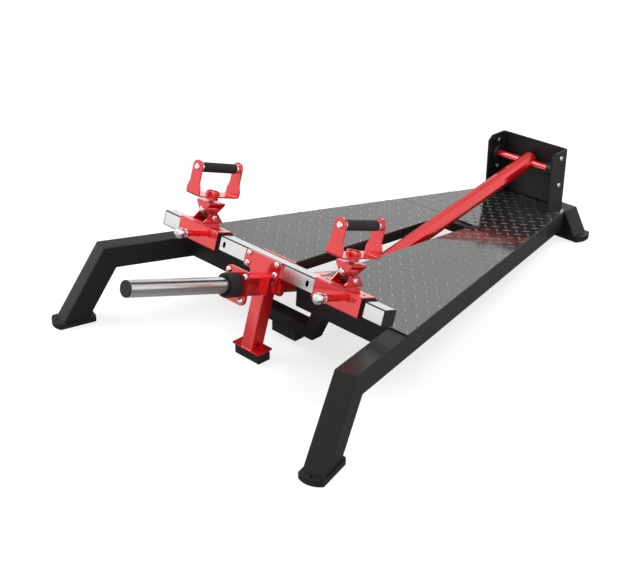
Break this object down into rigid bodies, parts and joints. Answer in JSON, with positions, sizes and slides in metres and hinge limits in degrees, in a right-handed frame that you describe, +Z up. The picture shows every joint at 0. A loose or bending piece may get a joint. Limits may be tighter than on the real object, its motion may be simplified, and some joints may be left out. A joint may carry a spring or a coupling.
{
  "type": "t-bar row machine",
  "caption": "Free-standing T-bar row machine with a tread-plate deck on a black steel frame, a red lifting arm hinged at the rear, a weight sleeve and two sliding swivel D-handles.",
  "frame": {"origin": "on the floor, under the middle of the machine's overall box", "axes": "+X to the lifter's left-to-right across the deck, +Y from the weight sleeve to the arm's pivot, +Z up"},
  "size_m": [1.2704, 1.9638, 0.5478],
  "materials": {
    "painted_steel_black": "satin",
    "tread_plate": "satin",
    "rubber_black": "matte",
    "painted_steel_red": "gloss",
    "zinc_steel": "satin",
    "chrome": "gloss",
    "plastic_black": "matte"
  },
  "bodies": {
    "frame": {"left_side_rail": "painted_steel_black", "right_side_rail": "painted_steel_black", "front_cross_member": "painted_steel_black", "left_slot_rail": "painted_steel_black", "right_slot_rail": "painted_steel_black", "seam_cross_tube": "painted_steel_black", "rear_cross_tube": "painted_steel_black", "pivot_bracket": "painted_steel_black", "left_flange_bearing": "painted_steel_black", "right_flange_bearing": "painted_steel_black", "left_deck_plate": "tread_plate", "right_deck_plate": "tread_plate", "rear_deck_plate": "tread_plate", "left_front_foot_pad": "rubber_black", "right_front_foot_pad": "rubber_black", "left_rear_foot_pad": "rubber_black", "right_rear_foot_pad": "rubber_black", "centre_foot_block": "rubber_black"},
    "arm": {"arm_tube": "painted_steel_red", "pivot_shaft": "painted_steel_red", "crossbar": "chrome", "left_bar_cap": "plastic_black", "right_bar_cap": "plastic_black", "front_clamp_plate": "painted_steel_red", "rear_clamp_plate": "painted_steel_red", "clamp_bolt_1": "zinc_steel", "clamp_bolt_2": "zinc_steel", "clamp_bolt_3": "zinc_steel", "clamp_bolt_4": "zinc_steel", "post": "painted_steel_red", "post_pad": "rubber_black", "sleeve_box": "painted_steel_red", "sleeve_flange": "painted_steel_red", "flange_bolt_1": "zinc_steel", "flange_bolt_2": "zinc_steel", "flange_bolt_3": "zinc_steel", "flange_bolt_4": "zinc_steel", "sleeve_collar": "rubber_black", "weight_sleeve": "chrome", "sleeve_end_cap": "plastic_black", "post_bolt": "zinc_steel"},
    "left_slider": {"left_slider": "painted_steel_red", "left_slider_liner": "plastic_black", "left_lower_yoke": "painted_steel_red"},
    "left_pin": {"left_pop_pin": "chrome"},
    "left_cross": {"left_cross_block": "painted_steel_red"},
    "left_yoke": {"left_upper_yoke": "painted_steel_red"},
    "left_handle": {"left_handle_frame": "painted_steel_red", "left_grip_bar": "chrome", "left_grip": "rubber_black"},
    "right_slider": {"right_slider": "painted_steel_red", "right_slider_liner": "plastic_black", "right_lower_yoke": "painted_steel_red"},
    "right_pin": {"right_pop_pin": "chrome"},
    "right_cross": {"right_cross_block": "painted_steel_red"},
    "right_yoke": {"right_upper_yoke": "painted_steel_red"},
    "right_handle": {"right_handle_frame": "painted_steel_red", "right_grip_bar": "chrome", "right_grip": "rubber_black"}
  },
  "joints": [
    {"name": "arm_lift", "type": "hinge", "parent": "frame", "child": "arm", "pos_m": [0, 0.86892, 0.2705], "axis": [-1, 0, 0], "range_deg": [0, 70]},
    {"name": "left_handle_width", "type": "slide", "parent": "arm", "child": "left_slider", "axis": [1, 0, 0], "range_m": [-0.0625, 0.125]},
    {"name": "left_pin_pull", "type": "slide", "parent": "left_slider", "child": "left_pin", "axis": [0, -0.95, 0.3123], "range_m": [-0.008, 0.01], "stiffness_N_per_m": 2000},
    {"name": "left_gimbal_rock", "type": "hinge", "parent": "left_slider", "child": "left_cross", "pos_m": [-0.3125, -0.42351, 0.34899], "axis": [1, 0, 0], "range_deg": [-35, 35]},
    {"name": "left_gimbal_tilt", "type": "hinge", "parent": "left_cross", "child": "left_yoke", "pos_m": [-0.3125, -0.41664, 0.36989], "axis": [0, 0.95, -0.3123], "range_deg": [-35, 35]},
    {"name": "left_handle_swivel", "type": "hinge", "parent": "left_yoke", "child": "left_handle", "pos_m": [-0.3125, -0.40071, 0.41834], "axis": [0, 0.3123, 0.95], "continuous": true},
    {"name": "right_handle_width", "type": "slide", "parent": "arm", "child": "right_slider", "axis": [1, 0, 0], "range_m": [-0.125, 0.0625]},
    {"name": "right_pin_pull", "type": "slide", "parent": "right_slider", "child": "right_pin", "axis": [0, -0.95, 0.3123], "range_m": [-0.008, 0.01], "stiffness_N_per_m": 2000},
    {"name": "right_gimbal_rock", "type": "hinge", "parent": "right_slider", "child": "right_cross", "pos_m": [0.3125, -0.42351, 0.34899], "axis": [1, 0, 0], "range_deg": [-35, 35]},
    {"name": "right_gimbal_tilt", "type": "hinge", "parent": "right_cross", "child": "right_yoke", "pos_m": [0.3125, -0.41664, 0.36989], "axis": [0, 0.95, -0.3123], "range_deg": [-35, 35]},
    {"name": "right_handle_swivel", "type": "hinge", "parent": "right_yoke", "child": "right_handle", "pos_m": [0.3125, -0.40071, 0.41834], "axis": [0, 0.3123, 0.95], "continuous": true}
  ]
}
